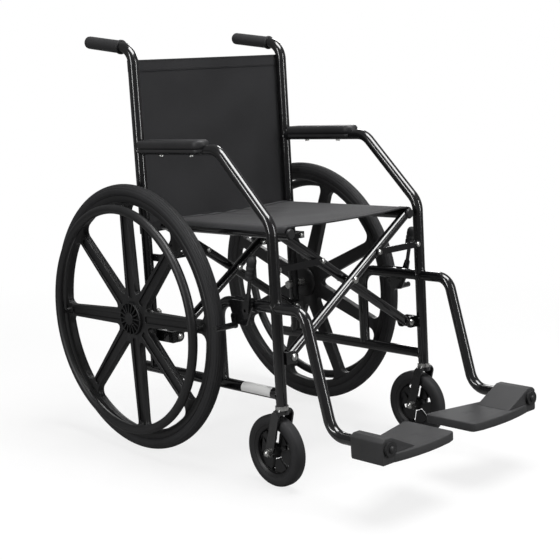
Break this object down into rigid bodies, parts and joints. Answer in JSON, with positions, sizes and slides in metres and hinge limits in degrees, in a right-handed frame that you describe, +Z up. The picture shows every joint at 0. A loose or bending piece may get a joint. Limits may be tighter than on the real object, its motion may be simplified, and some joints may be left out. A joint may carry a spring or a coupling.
{
  "type": "manual wheelchair",
  "caption": "Folding manual wheelchair with spoked rear wheels and hand rims, swivelling casters, sling seat and back, fixed arm pads, push handles, flip-up footplates and lever brakes.",
  "frame": {"origin": "on the floor, under the middle of the whole chair's width and length", "axes": "+Z is up, the sitter faces -Y, and +X is the sitter's left"},
  "size_m": [0.599, 0.9741, 0.8696],
  "materials": {
    "frame_black": "gloss black paint",
    "black_plastic": "black moulded plastic",
    "wheel_plastic": "satin charcoal moulded plastic",
    "tyre_rubber": "matte dark grey rubber",
    "grip_rubber": "matte dark grey rubber",
    "pad_foam": "dark grey skinned foam",
    "zinc": "bright zinc plate",
    "nylon": "charcoal woven nylon",
    "footplate_grey": "mid grey textured plastic",
    "label_white": "blank off-white label"
  },
  "bodies": {
    "frame_R": {"back_cane_r": "frame_black", "arm_tube_r": "frame_black", "lower_rail_r": "frame_black", "footrest_tube_r": "frame_black", "rail_plug_r": "black_plastic", "push_grip_r": "grip_rubber", "arm_pad_r": "pad_foam", "frame_bolts_r": "zinc", "wheel_axle_r": "zinc", "caster_bearing_r": "zinc", "brake_bracket_r": "frame_black", "footplate_knob_r": "black_plastic", "rail_label": "label_white", "back_sling": "nylon"},
    "cross_A": {"cross_tubes_a": "frame_black", "seat_rail_a": "frame_black", "seat_rail_caps_a": "black_plastic", "cross_bolts_a": "zinc", "seat_sling": "nylon"},
    "cross_B": {"cross_tubes_b": "frame_black", "seat_rail_b": "frame_black", "seat_rail_caps_b": "black_plastic"},
    "frame_L": {"back_cane_l": "frame_black", "arm_tube_l": "frame_black", "lower_rail_l": "frame_black", "footrest_tube_l": "frame_black", "rail_plug_l": "black_plastic", "push_grip_l": "grip_rubber", "arm_pad_l": "pad_foam", "frame_bolts_l": "zinc", "wheel_axle_l": "zinc", "caster_bearing_l": "zinc", "brake_bracket_l": "frame_black", "footplate_knob_l": "black_plastic"},
    "stays_R": {"stays_r": "frame_black", "stay_bolts_r": "zinc"},
    "footrest_R": {"footplate_r": "footplate_grey"},
    "wheel_R": {"wheel_rim_r": "wheel_plastic", "wheel_tyre_r": "tyre_rubber", "hand_rim_r": "wheel_plastic"},
    "fork_R": {"caster_fork_r": "frame_black", "caster_axle_r": "zinc"},
    "caster_R": {"caster_rim_r": "wheel_plastic", "caster_tyre_r": "tyre_rubber"},
    "brake_R": {"brake_lever_r": "frame_black", "brake_grip_r": "grip_rubber"},
    "shoe_R": {"brake_shoe_r": "frame_black"},
    "stays_L": {"stays_l": "frame_black", "stay_bolts_l": "zinc"},
    "footrest_L": {"footplate_l": "footplate_grey"},
    "wheel_L": {"wheel_rim_l": "wheel_plastic", "wheel_tyre_l": "tyre_rubber", "hand_rim_l": "wheel_plastic"},
    "fork_L": {"caster_fork_l": "frame_black", "caster_axle_l": "zinc"},
    "caster_L": {"caster_rim_l": "wheel_plastic", "caster_tyre_l": "tyre_rubber"},
    "brake_L": {"brake_lever_l": "frame_black", "brake_grip_l": "grip_rubber"},
    "shoe_L": {"brake_shoe_l": "frame_black"}
  },
  "joints": [
    {"name": "fold", "type": "hinge", "parent": "frame_R", "child": "cross_A", "pos_m": [-0.184, -0.00519, 0.24847], "axis": [0, -0.9985, 0.0553], "range_deg": [0, 42.4], "deforming": ["seat_sling", "back_sling"]},
    {"name": "cross_middle", "type": "hinge", "parent": "cross_A", "child": "cross_B", "pos_m": [0, 0.00156, 0.37029], "axis": [0, -0.9985, 0.0553], "range_deg": [-90, 0]},
    {"name": "left_pivot", "type": "hinge", "parent": "cross_B", "child": "frame_L", "pos_m": [0.184, -0.00519, 0.24847], "axis": [0, -0.9985, 0.0553], "range_deg": [0, 45]},
    {"name": "stay_R", "type": "hinge", "parent": "frame_R", "child": "stays_R", "pos_m": [-0.19, 0.00416, 0.41718], "axis": [0, -0.9985, 0.0553], "range_deg": [0, 74]},
    {"name": "footplate_R_flip", "type": "hinge", "parent": "frame_R", "child": "footrest_R", "pos_m": [-0.21, -0.43562, 0.14413], "axis": [0, -0.9985, 0.0553], "range_deg": [0, 90]},
    {"name": "wheel_R_spin", "type": "hinge", "parent": "frame_R", "child": "wheel_R", "pos_m": [-0.255, 0.2031, 0.284], "axis": [1, 0, 0], "continuous": true},
    {"name": "caster_R_swivel", "type": "hinge", "parent": "frame_R", "child": "fork_R", "pos_m": [-0.21, -0.19905, 0.16608], "axis": [0, 0.0553, 0.9985], "continuous": true},
    {"name": "caster_R_spin", "type": "hinge", "parent": "fork_R", "child": "caster_R", "pos_m": [-0.21, -0.18223, 0.072], "axis": [1, 0, 0], "continuous": true},
    {"name": "brake_R_lever", "type": "hinge", "parent": "frame_R", "child": "brake_R", "pos_m": [-0.231, -0.12396, 0.3462], "axis": [1, 0, 0], "range_deg": [0, 50]},
    {"name": "brake_R_shoe", "type": "hinge", "parent": "frame_R", "child": "shoe_R", "pos_m": [-0.231, -0.08879, 0.33022], "axis": [1, 0, 0], "range_deg": [0, 18]},
    {"name": "stay_L", "type": "hinge", "parent": "frame_L", "child": "stays_L", "pos_m": [0.19, 0.00416, 0.41718], "axis": [0, 0.9985, -0.0553], "range_deg": [0, 74]},
    {"name": "footplate_L_flip", "type": "hinge", "parent": "frame_L", "child": "footrest_L", "pos_m": [0.21, -0.43562, 0.14413], "axis": [0, 0.9985, -0.0553], "range_deg": [0, 90]},
    {"name": "wheel_L_spin", "type": "hinge", "parent": "frame_L", "child": "wheel_L", "pos_m": [0.255, 0.2031, 0.284], "axis": [1, 0, 0], "continuous": true},
    {"name": "caster_L_swivel", "type": "hinge", "parent": "frame_L", "child": "fork_L", "pos_m": [0.21, -0.19905, 0.16608], "axis": [0, 0.0553, 0.9985], "continuous": true},
    {"name": "caster_L_spin", "type": "hinge", "parent": "fork_L", "child": "caster_L", "pos_m": [0.21, -0.18223, 0.072], "axis": [1, 0, 0], "continuous": true},
    {"name": "brake_L_lever", "type": "hinge", "parent": "frame_L", "child": "brake_L", "pos_m": [0.231, -0.12396, 0.3462], "axis": [1, 0, 0], "range_deg": [0, 50]},
    {"name": "brake_L_shoe", "type": "hinge", "parent": "frame_L", "child": "shoe_L", "pos_m": [0.231, -0.08879, 0.33022], "axis": [1, 0, 0], "range_deg": [0, 18]}
  ],
  "couplings": [
    {"joint": "cross_middle", "follows": "fold", "ratio": -2},
    {"joint": "left_pivot", "follows": "fold", "ratio": 1},
    {"joint": "stay_R", "follows": "fold", "ratio": 1.717},
    {"joint": "footplate_R_flip", "follows": "fold", "ratio": 2.12},
    {"joint": "brake_R_shoe", "follows": "brake_R_lever", "ratio": 0.36},
    {"joint": "stay_L", "follows": "fold", "ratio": 1.717},
    {"joint": "footplate_L_flip", "follows": "fold", "ratio": 2.12},
    {"joint": "brake_L_shoe", "follows": "brake_L_lever", "ratio": 0.36}
  ]
}
